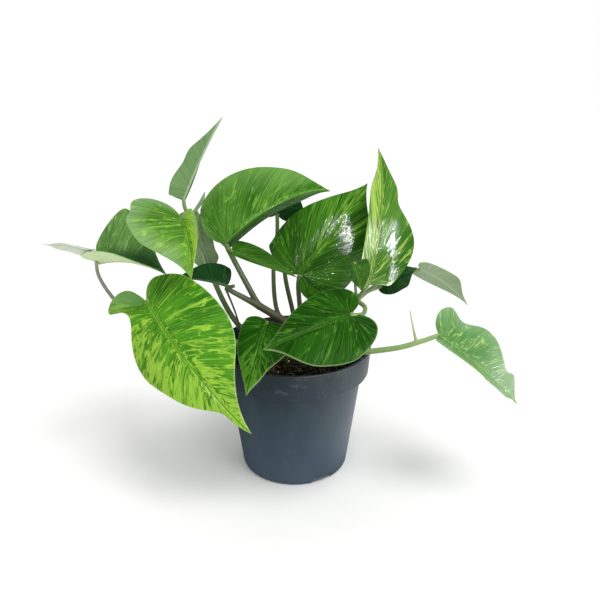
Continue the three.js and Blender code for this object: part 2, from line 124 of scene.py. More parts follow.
gloss_lamp(
    "near_gloss_lamp", (0.355, -0.787, 0.28), at=(0.04, 0, 0.19), width=0.022, height=0.3, watts=7
)
gloss_lamp(
    "side_gloss_lamp", (0.634, -0.23, 0.14), at=(0.07, 0, 0.19), width=0.014, height=0.2, watts=4
)

# Glowing white paper: the pot's edge mirrors it as a soft light line. It fades out along its left
# side, so that the line has no hard end.
CARD_PLACE, CARD_WIDTH, CARD_DEPTH = (0.18, 0.13, 0.0005), 0.3, 0.5
bpy.ops.mesh.primitive_plane_add(size=1, location=CARD_PLACE)
bounce = bpy.context.object
bounce.name = "bounce_card"
bounce.scale = (CARD_WIDTH, CARD_DEPTH, 1)
paper, shader = new_material("white_bounce_card")
spot = add_node(paper, "TexCoord").outputs["Object"]
across = add_node(paper, "SeparateXYZ", {0: spot}).outputs["X"]
glow = add_node(
    paper, "MapRange", {"Value": across, "From Min": -0.5, "From Max": -0.35, "To Max": 1.2}
)
finish_shader(
    shader, Base_Color=colour("#000000"), Emission_Color=colour("#ffffff"),
    Emission_Strength=glow.outputs["Result"], Specular_IOR_Level=0.0,
)
bounce.data.materials.append(paper)
bounce.visible_camera = bounce.visible_diffuse = bounce.visible_shadow = False

# A broad soft lamp overhead: it gives the plant its form and its shadow, and no highlights.
bpy.ops.object.light_add(type="SUN", location=(0.4, -0.6, 1.2))
ceiling = bpy.context.object
ceiling.name = "ceiling_light"
ceiling.rotation_euler = Vector((0.3, -0.3, 1)).to_track_quat("Z", "Y").to_euler()
ceiling.data.energy, ceiling.data.angle = 1.7, math.radians(30)
ceiling.visible_glossy = False

# The air is white behind the plant, lights it softly from all round, and is dim in its gloss.
world = bpy.data.worlds.new("studio_air")
world.use_nodes = True
bpy.context.scene.world = world
background = world.node_tree.nodes["Background"]
ray = add_node(world, "LightPath").outputs
dim = add_node(world, "MapRange", {"Value": ray["Is Glossy Ray"], "To Min": 0.72, "To Max": 0.1})
glow = add_node(
    world, "Math", {0: ray["Is Camera Ray"], 1: dim.outputs["Result"]}, operation="MAXIMUM"
)
background.inputs["Color"].default_value = (1, 1, 1, 1)
world.node_tree.links.new(glow.outputs[0], background.inputs["Strength"])

# ---- the pot ----
# A tapered nursery pot moulded in dark slate polypropylene, with an upright band under the rim and
# three drainage grooves that show as notches in the foot. Satin, and a little chalky from water.
POT_HEIGHT, RIM, BAND, WALL_TOP, FOOT = 0.103, 0.060, 0.0586, 0.0535, 0.043
BAND_FOOT, PLASTIC, POT_FLOOR = 0.082, 0.0016, 0.0018
FOOT_ROUND, BAND_ROUND, LIP_ROUND = 0.003, 0.001, 0.0008
GROOVE_TURNS = (-59, 61, 181)
GROOVE_START, GROOVE_ROOF, GROOVE_MOUTH, GROOVE_CROWN = 0.014, 0.0042, 0.022, 0.016
HOLE_FAR, HOLE_RADIUS = 0.029, 0.004


def new_piece(name, points, edges, faces):
    """A piece made of points, edges and faces."""
    mesh = bpy.data.meshes.new(name)
    mesh.from_pydata(points, edges, faces)
    piece = bpy.data.objects.new(name, mesh)
    bpy.context.collection.objects.link(piece)
    return piece


def pick(piece):
    """Selects one piece and nothing else."""
    bpy.ops.object.select_all(action="DESELECT")
    bpy.context.view_layer.objects.active = piece
    piece.select_set(True)


def edit(piece):
    """Opens one piece in edit mode with all of it selected."""
    pick(piece)
    bpy.ops.object.mode_set(mode="EDIT")
    bpy.ops.mesh.select_all(action="SELECT")


def turned(name, outline, steps=144):
    """A solid of revolution: an outline that starts and ends on the axis, spun round it."""
    edges = [(i, i + 1) for i in range(len(outline) - 1)]
    piece = new_piece(name, [(radius, 0, height) for radius, height in outline], edges, [])
    edit(piece)
    bpy.ops.mesh.spin(steps=steps, angle=2 * math.pi, center=(0, 0, 0), axis=(0, 0, 1))
    bpy.ops.mesh.select_all(action="SELECT")
    bpy.ops.mesh.remove_doubles(threshold=1e-6)
    bpy.ops.mesh.normals_make_consistent(inside=False)
    bpy.ops.object.mode_set(mode="OBJECT")
    return piece


def cut(piece, tool):
    """Takes a tool's shape out of a piece and removes the tool."""
    pick(piece)
    modifier = piece.modifiers.new("cut", "BOOLEAN")
    modifier.operation, modifier.solver, modifier.object = "DIFFERENCE", "EXACT", tool
    bpy.ops.object.modifier_apply(modifier="cut")
    bpy.data.objects.remove(tool)


def groove_bar(turn, grow):
    """A bar from near the axis out past the wall, wide at the mouth and narrower at its roof."""
    bpy.ops.mesh.primitive_cube_add(size=1)
    bar = bpy.context.object
    for corner in bar.data.vertices:
        x, y, z = corner.co
        far = RIM + 0.002 if x > 0 else GROOVE_START - grow
        width = (GROOVE_MOUTH if z < 0 else GROOVE_CROWN) + 2 * grow
        corner.co = (far, width * y, -0.001 if z < 0 else GROOVE_ROOF + grow)
    bar.data.transform(Matrix.Rotation(math.radians(turn), 4, "Z"))
    return bar


def drain_hole(turn):
    """A round cutter through the roof of a groove."""
    bpy.ops.mesh.primitive_cylinder_add(vertices=40, radius=HOLE_RADIUS, depth=0.02)
    tool = bpy.context.object
    outward = Matrix.Translation((HOLE_FAR, 0, 0.005))
    tool.data.transform(Matrix.Rotation(math.radians(turn), 4, "Z") @ outward)
    return tool


def rounded(far, height, radius, upper=False):
    """A quarter circle at an outer corner of the outline: below a wall or, if upper, above it."""
    points = []
    for a in [math.radians(15 * i) for i in range(7)]:
        across, up = (math.cos(a), math.sin(a)) if upper else (math.sin(a), -math.cos(a))
        middle = height - radius if upper else height + radius
        points.append((far - radius + radius * across, middle + radius * up))
    return points


pot_outline = [
    (0, 0),
    *rounded(FOOT, 0, FOOT_ROUND),
    (WALL_TOP, BAND_FOOT),
    *rounded(BAND, BAND_FOOT, BAND_ROUND),
    *rounded(RIM, POT_HEIGHT, LIP_ROUND, upper=True),
    (0, POT_HEIGHT),
]
pot = turned("nursery_pot", pot_outline)
ledge = BAND_FOOT + PLASTIC
hollow_outline = [
    (0, POT_FLOOR),
    (FOOT - PLASTIC, POT_FLOOR),
    (WALL_TOP - PLASTIC, ledge),
    (BAND - PLASTIC, ledge),
    (RIM - PLASTIC, POT_HEIGHT + 0.001),
    (0, POT_HEIGHT + 0.001),
]
hollow = turned("hollow", hollow_outline)
for turn in GROOVE_TURNS:
    cut(hollow, groove_bar(turn, POT_FLOOR))
cut(pot, hollow)
for turn in GROOVE_TURNS:
    cut(pot, groove_bar(turn, 0))
    cut(pot, drain_hole(turn))
bpy.ops.object.shade_smooth_by_angle(angle=math.radians(35))


def coat(owner, under, code, *fades):
    """Lays a colour over a tone, as strongly as the product of its fades. A fade is what it
    follows, where it starts and is full, its strength there and, unless 0, its strength before."""
    shown = 1.0
    for follows, start, full, strength, *before in fades:
        ends = {"From Min": start, "From Max": full, "To Min": before[0] if before else 0}
        fade = add_node(owner, "MapRange", {"Value": follows, "To Max": strength, **ends})
        fade = fade.outputs["Result"]
        shown = add_node(owner, "Math", {0: shown, 1: fade}, operation="MULTIPLY").outputs[0]
    return add_node(
        owner, "MixRGB", {"Fac": shown, "Color1": under, "Color2": colour(code)}
    ).outputs["Color"]


# Injection-moulded polypropylene: satin, with faint flow mottling, a fine spark-eroded grain drawn
# coarser than life so that it shows, water marks round the band, and a painted reflection of the
# bright floor that makes it paler towards the foot.
plastic, shader = new_material("moulded_polypropylene_slate")
spot = add_node(plastic, "TexCoord").outputs["Object"]
flow = add_node(plastic, "VectorMath", {0: spot, 1: (1, 1, 0.45)}, operation="MULTIPLY").outputs[0]
mottle = add_node(
    plastic, "TexNoise", {"Vector": flow, "Scale": 45, "Detail": 6, "Roughness": 0.6}
).outputs["Fac"]
body = add_node(
    plastic, "ValToRGB", {"Fac": mottle}, [(0.3, "#26343b"), (0.52, "#2d3d46"), (0.75, "#354753")]
)
marks = add_node(
    plastic, "TexNoise", {"Vector": spot, "Scale": 140, "Detail": 8, "Roughness": 0.75}
).outputs["Fac"]
high = add_node(plastic, "SeparateXYZ", {0: spot}).outputs["Z"]
# The wall is painted paler towards the foot: a painted reflection of the bright floor.
painted_floor_reflection = coat(plastic, body.outputs["Color"], "#4b6070", (high, 0.09, 0.0, 0.8))
dusty = coat(plastic, painted_floor_reflection, "#7b868b", (marks, 0.58, 0.74, 1), (high, 0.078, 0.1, 0.8, 0.12))
grain = add_node(plastic, "TexNoise", {"Vector": spot, "Scale": 1600, "Detail": 2}).outputs["Fac"]
relief = add_node(plastic, "Bump", {"Height": grain, "Strength": 0.25, "Distance": 0.0002})
gloss = add_node(plastic, "MapRange", {"Value": mottle, "To Min": 0.36, "To Max": 0.5})
finish_shader(
    shader, Base_Color=dusty, Roughness=gloss.outputs["Result"], IOR=1.49, Specular_IOR_Level=0.4,
    Normal=relief.outputs["Normal"],
)
pot.data.materials.append(plastic)
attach(pot, "root")
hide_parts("pot")

# ---- the soil ----
# Peaty potting mix, heaped a little towards the middle, with crumbs of peat and bark, a few white
# grains of perlite and fine roots on top.
SOIL_TOP, SOIL_BOTTOM, CLEAR = 0.097, 0.008, 0.00035
LUMPS, CLODS = 0.00075, 0.0011  # how far each rises and falls
ledge_run = (SOIL_TOP - ledge) / (POT_HEIGHT - ledge)
soil_edge = BAND - PLASTIC + (RIM - BAND) * ledge_run - CLEAR
foot_run = (SOIL_BOTTOM - POT_FLOOR) / (ledge - POT_FLOOR)
soil_foot = FOOT - PLASTIC + (WALL_TOP - FOOT) * foot_run - CLEAR


def soil_height(x, y):
    """Height of the soil's surface: the lumps of the heap, and clods on them, level at the wall."""
    full = 2 * math.pi
    wave = math.sin(full * x / 0.016) * math.sin(full * y / 0.02) + math.sin(full * (x - y) / 0.036)
    inside = min(1, max(0, (soil_edge - math.hypot(x, y)) / 0.004))
    clods = noise.fractal(Vector((x, y, 0)) * 260, 1.0, 2.0, 4)
    return SOIL_TOP + inside * (LUMPS * wave + CLODS * clods)


rings = [(soil_edge * i / 56, SOIL_TOP) for i in range(55, -1, -1)]
soil = turned(
    "potting_mix",
    [(0, SOIL_BOTTOM), (soil_foot, SOIL_BOTTOM), (WALL_TOP - PLASTIC - CLEAR, ledge + CLEAR),
     (BAND - PLASTIC - CLEAR, ledge + CLEAR), (soil_edge, SOIL_TOP), *rings],
    steps=160,
)
for corner in soil.data.vertices:
    if corner.co.z > SOIL_TOP - 0.0005:
        corner.co.z = soil_height(corner.co.x, corner.co.y)

# Damp peat: nearly black and dull, with paler crumbs about 2 mm across and a rough grain.
peat, shader = new_material("damp_peat_mix")
spot = add_node(peat, "TexCoord").outputs["Object"]
lumps = add_node(
    peat, "TexNoise", {"Vector": spot, "Scale": 420, "Detail": 8, "Roughness": 0.7}
).outputs["Fac"]
earth = add_node(
    peat, "ValToRGB", {"Fac": lumps},
    [(0.32, "#090a06"), (0.5, "#15140d"), (0.62, "#272117"), (0.74, "#43362a")],
)
relief = add_node(peat, "Bump", {"Height": lumps, "Strength": 0.9, "Distance": 0.0012})
finish_shader(
    shader, Base_Color=earth.outputs["Color"], Roughness=0.95, Specular_IOR_Level=0.15,
    Normal=relief.outputs["Normal"],
)
soil.data.materials.append(peat)
for polygon in soil.data.polygons:
    polygon.use_smooth = True
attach(soil, "root")
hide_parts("soil")

chance = random.Random(7)
ANY_WAY = 6.28  # radians that a grain may be turned by
WALL_GAP = 0.0004  # between the grains and the pot's wall


def scatter(name, count, shape, material, reach=0.97):
    """Strews copies of a small shape on the soil as one piece. shape() gives its points, its faces
    and how far it is raised."""
    points, faces = [], []
    for _ in range(count):
        turn = chance.uniform(0, 2 * math.pi)
        far = soil_edge * reach * math.sqrt(chance.random())
        x, y = far * math.cos(turn), far * math.sin(turn)
        own, sides, raised = shape()
        start = len(points)
        for p in own:
            px, py = x + p.x, y + p.y
            off = math.hypot(px, py)
            squeeze = min(1, (soil_edge - WALL_GAP) / off) if off else 1
            points.append((px * squeeze, py * squeeze, soil_height(x, y) + p.z + raised))
        faces += [[start + i for i in side] for side in sides]
    piece = new_piece(name, points, [], faces)
    piece.data.materials.append(material)
    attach(piece, "root")


bpy.ops.mesh.primitive_ico_sphere_add(subdivisions=1, radius=1)
grain_pattern = bpy.context.object
GRAIN_POINTS = [corner.co.copy() for corner in grain_pattern.data.vertices]
GRAIN_FACES = [tuple(side.vertices) for side in grain_pattern.data.polygons]
bpy.data.objects.remove(grain_pattern)


def crumb(least, most, flat=0.7):
    """A rough grain between two radii."""
    radius = chance.uniform(least, most)
    size = Vector([radius * chance.uniform(0.7, 1.2) for _ in range(3)])
    size.z *= flat
    angle = chance.uniform(0, ANY_WAY)
    tilt = Matrix.Rotation(angle, 3, Vector([chance.uniform(-1, 1) for _ in range(3)]))
    rough = [p * chance.uniform(0.75, 1.2) for p in GRAIN_POINTS]
    points = [tilt @ Vector([a * b for a, b in zip(p, size)]) for p in rough]
    return points, GRAIN_FACES, radius * 0.15


def chip():
    """A flat splinter of bark."""
    long, wide, thick = chance.uniform(0.0015, 0.0042), chance.uniform(0.0006, 0.0014), 0.0004
    turn = Matrix.Rotation(chance.uniform(0, ANY_WAY), 3, "Z")
    turn = turn @ Matrix.Rotation(chance.uniform(-0.5, 0.5), 3, "Y")
    outline = [(-1, -0.6), (-0.4, -1), (0.7, -0.8), (1, 0.2), (0.5, 1), (-0.7, 0.8)]
    points = [turn @ Vector((long * x, wide * y, thick * z)) for z in (-1, 1) for x, y in outline]
    walls = [(i, (i + 1) % 6, 6 + (i + 1) % 6, 6 + i) for i in range(6)]
    return points, [(5, 4, 3, 2, 1, 0), (6, 7, 8, 9, 10, 11), *walls], 0.0005


def rootlet():
    """A thin three-sided root that wanders over the surface."""
    long, thin, steps = chance.uniform(0.005, 0.014), chance.uniform(0.00013, 0.00026), 9
    heading, bend = chance.uniform(0, ANY_WAY), chance.uniform(-0.5, 0.5)
    rise = chance.uniform(0.0004, 0.003)
    centre, line = Vector((0, 0, 0)), []
    for i in range(steps + 1):
        line.append(centre + Vector((0, 0, rise * math.sin(math.pi * i / steps))))
        heading += bend + chance.uniform(-0.35, 0.35)
        centre = centre + Vector((math.cos(heading), math.sin(heading), 0)) * long / steps
    points, faces = [], []
    for i, middle in enumerate(line):
        ahead = (line[min(i + 1, steps)] - line[max(i - 1, 0)]).normalized()
        aside = ahead.cross(Vector((0, 0, 1))).normalized()
        above = aside.cross(ahead)
        for a in (0, 2.09, 4.19):
            points.append(middle + thin * (aside * math.cos(a) + above * math.sin(a)))
    for i in range(steps):
        for k in range(3):
            n = (k + 1) % 3
            faces.append((3 * i + k, 3 * i + n, 3 * i + 3 + n, 3 * i + 3 + k))
    faces += [(2, 1, 0), (3 * steps, 3 * steps + 1, 3 * steps + 2)]
    return points, faces, 0.0003


def granular(name, scale, roughness, *stops):
    """A dull granular material whose tone changes from grain to grain."""
    material, shader = new_material(name)
    spot = add_node(material, "TexCoord").outputs["Object"]
    patches = add_node(
        material, "TexNoise", {"Vector": spot, "Scale": scale, "Detail": 4}
    ).outputs["Fac"]
    tone = add_node(material, "ValToRGB", {"Fac": patches}, stops)
    relief = add_node(material, "Bump", {"Height": patches, "Strength": 0.6, "Distance": 0.0004})
    finish_shader(
        shader, Base_Color=tone.outputs["Color"], Roughness=roughness, Specular_IOR_Level=0.2,
        Normal=relief.outputs["Normal"],
    )
    return material


# Peat crumbs dry paler than the damp mix under them. Bark is red-brown, and a little smoother.
# Perlite is chalky white, puffed glass. Fine roots are straw-coloured and dusty.
crumb_peat = granular(
    "peat_crumbs", 330, 0.95,
    (0.3, "#0b0b07"), (0.46, "#18160f"), (0.58, "#2f241b"), (0.72, "#553e30"),
)
bark = granular("composted_bark", 300, 0.85, (0.3, "#20120d"), (0.5, "#3c261d"), (0.7, "#5f4335"))
perlite = granular("perlite", 700, 0.9, (0.3, "#a8a496"), (0.6, "#dcdacf"))
root_bark = granular("fine_roots", 200, 0.8, (0.3, "#4f4a30"), (0.55, "#7c7350"), (0.7, "#8d8563"))
scatter("soil_crumbs", 1500, lambda: crumb(0.0005, 0.0013), crumb_peat)
scatter("soil_clods", 260, lambda: crumb(0.0012, 0.0024), crumb_peat, 0.94)
scatter("bark_chips", 170, chip, bark, 0.93)
scatter("perlite_grains", 22, lambda: crumb(0.0005, 0.0011, 0.9), perlite)
scatter("rootlets", 210, rootlet, root_bark, 0.9)

# ---- the stems ----
# Round jointed stems of a young aroid. Each is a set of limbs that swell at their nodes, welded
# into one skin; the old stem at the foot is brown and corky, the stalks are green.
STALK_STEPS = 24  # from each point of a limb's path to the next


def stalk_curve(path):
    """A centripetal Catmull-Rom curve through a limb's path, as points in metres."""
    points = [Vector(p) / 1000 for p in path]
    points = [2 * points[0] - points[1], *points, 2 * points[-1] - points[-2]]
    fine = []
    for p0, p1, p2, p3 in zip(points, points[1:], points[2:], points[3:]):
        d0, d1, d2 = [math.sqrt((b - a).length) for a, b in ((p0, p1), (p1, p2), (p2, p3))]
        t1 = ((p1 - p0) / d0 - (p2 - p0) / (d0 + d1) + (p2 - p1) / d1) * d1
        t2 = ((p2 - p1) / d1 - (p3 - p1) / (d1 + d2) + (p3 - p2) / d2) * d1
        c2, c3 = 3 * (p2 - p1) - 2 * t1 - t2, 2 * (p1 - p2) + t1 + t2
        for i in range(STALK_STEPS):
            t = i / STALK_STEPS
            fine.append(p1 + t1 * t + c2 * t * t + c3 * t**3)
    fine.append(points[-2])
    return fine


# Each stem's limbs, in millimetres: the radii of a limb's two ends, and the points it runs through.


STEMS = {
    "centre": [
        ((3.6, 3.0), [(4, 6, 80), (2, 8, 98), (-8, 12, 115.5), (-18, 9, 124), (-28, 5, 132)]),
        ((2.6, 1.8), [(-28, 5, 132), (-40, 0, 141), (-52, -5, 150)]),
        ((1.6, 1.3), [(-52, -5, 150), (-45, -6, 152)]),
        ((2.4, 2.0), [(-28, 5, 132), (-40, 4, 157), (-50, 2, 179)]),
        ((1.8, 1.5), [(-50, 2, 179), (-51, 1, 183)]),
        ((1.5, 1.2), [(-50, 2, 179), (-46, -4, 178)]),
        ((0.9, 0.4), [(-50, 2, 179), (-57, 2, 185)]),
        ((1.9, 1.6), [(-8, 12, 115), (-14, 15, 124), (-17, 28, 156), (-14, 38, 183),
                      (-14, 42, 197)]),
        ((2.0, 1.7), [(2, 8, 98), (-1, 18, 119), (-8, 30, 152), (-6, 40, 172), (0, 46, 185)]),
        ((2.2, 1.8), [(2, 8, 98), (5, 9, 115), (4, 8, 132), (3, 3, 150), (4, 0, 159)]),
        ((0.9, 0.6), [(-52, -4, 149), (-46, 5, 125), (-42, 12, 100), (-40, 14, 88)]),
    ],
    "left": [
        ((2.4, 2.0), [(-30, 18, 82), (-38, 20, 98), (-52, 22, 118), (-62, 20, 142), (-71, 18, 173),
                      (-78, 12, 201)]),
        ((1.7, 1.4), [(-78, 12, 201), (-81.5, 9, 208), (-82, 8, 214)]),
        ((1.7, 1.5), [(-78, 12, 201), (-80, 2, 206), (-79, -12, 204)]),
        ((1.5, 1.3), [(-78, 12, 201), (-76, 15, 198)]),
        ((1.2, 1.6), [(-78, 12, 201), (-69, 14, 213)]),
        ((1.6, 0.4), [(-69, 14, 213), (-67, 15, 219)]),
    ],
    "right": [
        ((3.0, 2.4), [(22, 2, 80), (26, 0, 98), (38, -5, 122), (47, -8, 141)]),
        ((1.8, 1.5), [(47, -8, 141), (51, -10, 148), (55, -12, 155)]),
        ((1.7, 1.4), [(47, -8, 141), (56, 0, 145.5), (68, 14, 149)]),
        ((1.5, 1.3), [(56, 0, 145.5), (72, 18, 145), (88, 22, 151), (99, 18, 158)]),
        ((1.8, 1.5), [(47, -8, 141), (52, -20, 140.5), (49.5, -36, 141), (44, -45, 143.5),
                      (39, -48, 145)]),
        ((1.2, 1.0), [(47, -8, 141), (45, -11, 160), (44, -18, 174)]),
    ],
    "low_right": [
        ((2.6, 1.8), [(30, -14, 80), (34, -18, 98), (44, -23, 104), (57, -26, 107), (78, -32, 113),
                      (91, -36, 119), (104, -40, 126)]),
        ((1.2, 0.4), [(89, -35, 118), (86, -35, 130), (83, -34, 143)]),
    ],
    "far_left": [
        ((1.8, 1.4), [(-25, -12, 82), (-32, -13, 98), (-60, -18, 117), (-91, -20, 130),
                      (-125, -8, 130), (-144, 5, 143), (-154, 15, 155), (-157, 23, 164)]),
        ((1.3, 1.1), [(-157, 23, 164), (-155, 26, 160)]),
        ((1.3, 1.1), [(-157, 23, 164), (-161, 22, 172.5)]),
    ],
    "front_left": [
        ((2.4, 1.8), [(-14, -20, 82), (-22, -24, 98), (-50, -28, 120), (-80, -28, 146),
                      (-98, -34, 152), (-104, -38, 151)]),
    ],
    "front_low": [
        ((2.0, 1.5), [(-4, -22, 82), (-6, -26, 98), (-10, -36, 120), (-15, -43, 132),
                      (-19, -48, 139)]),
    ],
}


def limb_mesh(radii, path):
    """One limb as a tube with round ends, swollen where it springs from its node and at its end."""
    line = stalk_curve(path)
    shape = bpy.data.curves.new("limb", "CURVE")
    shape.dimensions, shape.bevel_depth, shape.bevel_resolution = "3D", 0.001, 5
    shape.use_fill_caps = True
    run = shape.splines.new("POLY")
    run.points.add(len(line) - 1)
    far = [0]
    for a, b in zip(line, line[1:]):
        far.append(far[-1] + (b - a).length)
    for point, place, done in zip(run.points, line, far):
        share = done / far[-1]
        node = 0.15 * math.exp(-((done / 0.004) ** 2))
        knee = 0.06 * math.exp(-(((far[-1] - done) / 0.002) ** 2))
        point.co = (*place, 1)
        point.radius = (radii[0] + (radii[1] - radii[0]) * share) * (1 + node + knee)
    limb = bpy.data.objects.new("limb", shape)
    bpy.context.collection.objects.link(limb)
    return limb


def weld_limbs(name, limbs):
    """Joins limbs into one smooth closed skin."""
    bpy.ops.object.select_all(action="DESELECT")
    made = [limb_mesh(radii, path) for radii, path in limbs]
    for limb in made:
        limb.select_set(True)
    bpy.context.view_layer.objects.active = made[0]
    bpy.ops.object.convert(target="MESH")
    if len(made) > 1:
        bpy.ops.object.join()
    stem = bpy.context.object
    stem.name = name
    stem.data.remesh_voxel_size = 0.00042  # about the radius of the thinnest tip
    bpy.ops.object.voxel_remesh()
    soften = stem.modifiers.new("soften", "SMOOTH")
    soften.factor, soften.iterations = 0.5, 4
    bpy.ops.object.modifier_apply(modifier="soften")
    bpy.ops.object.shade_smooth()
    return stem


def stem_skin(name, old, young, fresh, turn_from, turn_to, blush):
    """Living bark: the old tone below one height and the fresh one above another, with a ragged
    change between them, and fine lengthwise lines in the blush."""
    skin, shader = new_material(name)
    spot = add_node(skin, "TexCoord").outputs["Object"]
    patches = add_node(
        skin, "TexNoise", {"Vector": spot, "Scale": 160, "Detail": 5, "Roughness": 0.65}
    ).outputs["Fac"]
    high = add_node(skin, "SeparateXYZ", {0: spot}).outputs["Z"]
    ragged = add_node(
        skin, "Math", {0: patches, 1: 0.02, 2: high}, operation="MULTIPLY_ADD"
    ).outputs[0]
    ends = {"From Min": turn_from + 0.01, "From Max": turn_to + 0.01}
    age = add_node(skin, "MapRange", {"Value": ragged, **ends}).outputs["Result"]
    tone = add_node(skin, "ValToRGB", {"Fac": age}, [(0.0, old), (0.55, young), (1.0, fresh)])
    lengthwise = add_node(
        skin, "VectorMath", {0: spot, 1: (1, 1, 0.12)}, operation="MULTIPLY"
    ).outputs[0]
    lines = add_node(skin, "TexNoise", {"Vector": lengthwise, "Scale": 1400, "Detail": 3})
    flecked = coat(skin, tone.outputs["Color"], blush, (lines.outputs["Fac"], 0.55, 0.75, 0.5))
    relief = add_node(
        skin, "Bump", {"Height": lines.outputs["Fac"], "Strength": 0.35, "Distance": 0.0003}
    )
    finish_shader(
        shader, Base_Color=flecked, Roughness=0.5, Specular_IOR_Level=0.4,
        Normal=relief.outputs["Normal"],
    )
    return skin


# Smooth herbaceous bark with a soft sheen, finely ribbed. Its foot turns brown and corky with age,
# and the stalks stay green: each skin's three tones, the heights that it turns between, its blush.
STEM_SKINS = {
    "centre": ("corky_stem", "#6a5a4e", "#66724e", "#6f8a52", 0.112, 0.16, "#5c4c42"),
    "left": ("green_stalk", "#5f6d4a", "#6f8f56", "#7fa066", 0.1, 0.2, "#8a8a6c"),
    "right": ("stout_green_stalk", "#5c6f42", "#7a9458", "#93a772", 0.1, 0.16, "#77705a"),
    "low_right": ("pale_green_stalk", "#6f9450", "#93b36c", "#b0c890", 0.1, 0.13, "#a9b48e"),
    "far_left": ("purple_brown_stalk", "#7b746c", "#8f8d85", "#a9b094", 0.12, 0.165, "#6d5b5b"),
    "front_left": ("fresh_stalk", "#5c7c3c", "#76a04a", "#86b054", 0.1, 0.15, "#6f7c4c"),
    "front_low": ("shaded_stalk", "#46602f", "#56783a", "#6a8d44", 0.1, 0.14, "#4d5538"),
}
for part, limbs in STEMS.items():
    stem = weld_limbs(f"{part}_stalks", limbs)
    stem.data.materials.clear()
    stem.data.materials.append(stem_skin(*STEM_SKINS[part]))
    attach(stem, "root")
    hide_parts(f"stem_{part}")

# ---- the leaves ----
# Heart-shaped blades, leathery and glossy above, pale and dull beneath. Each is a thin sheet laid
# on a midrib that arches, with halves that fold up from it and curl down towards the margin.
HALF_OUTLINE = [
    (0, 0), (0.18, -0.11), (0.48, -0.15), (0.8, -0.07), (0.99, 0.12), (0.96, 0.32), (0.77, 0.51),
    (0.48, 0.68), (0.21, 0.83), (0.07, 0.93), (0, 1),
]


def outline_point(t):
    """A point of the uniform Catmull-Rom curve through the half outline."""
    last = len(HALF_OUTLINE) - 1
    at = last * t
    i = min(int(at), last)
    w = at - i
    p0, p1, p2, p3 = [Vector(HALF_OUTLINE[min(max(i + k, 0), last)]) for k in (-1, 0, 1, 2)]
    v0, v1 = (p2 - p0) / 2, (p3 - p1) / 2
    return (2 * p1 - 2 * p2 + v0 + v1) * w**3 + (3 * p2 - 3 * p1 - 2 * v0 - v1) * w**2 + v0 * w + p1


OUTLINE_STEPS = 200
OUTLINE_FINE = [outline_point(i / OUTLINE_STEPS) for i in range(OUTLINE_STEPS + 1)]
OUTLINE_FAR = [0.0]
for a, b in zip(OUTLINE_FINE, OUTLINE_FINE[1:]):
    OUTLINE_FAR.append(OUTLINE_FAR[-1] + (b - a).length)


def margin_at(row):
    """The margin's point at a share of the half outline's length."""
    wanted = row * OUTLINE_FAR[-1]
    last = OUTLINE_STEPS - 1
    i = next((k for k in range(last + 1) if OUTLINE_FAR[k + 1] >= wanted), last)
    part = (wanted - OUTLINE_FAR[i]) / (OUTLINE_FAR[i + 1] - OUTLINE_FAR[i])
    return outline_point((i + part) / OUTLINE_STEPS)


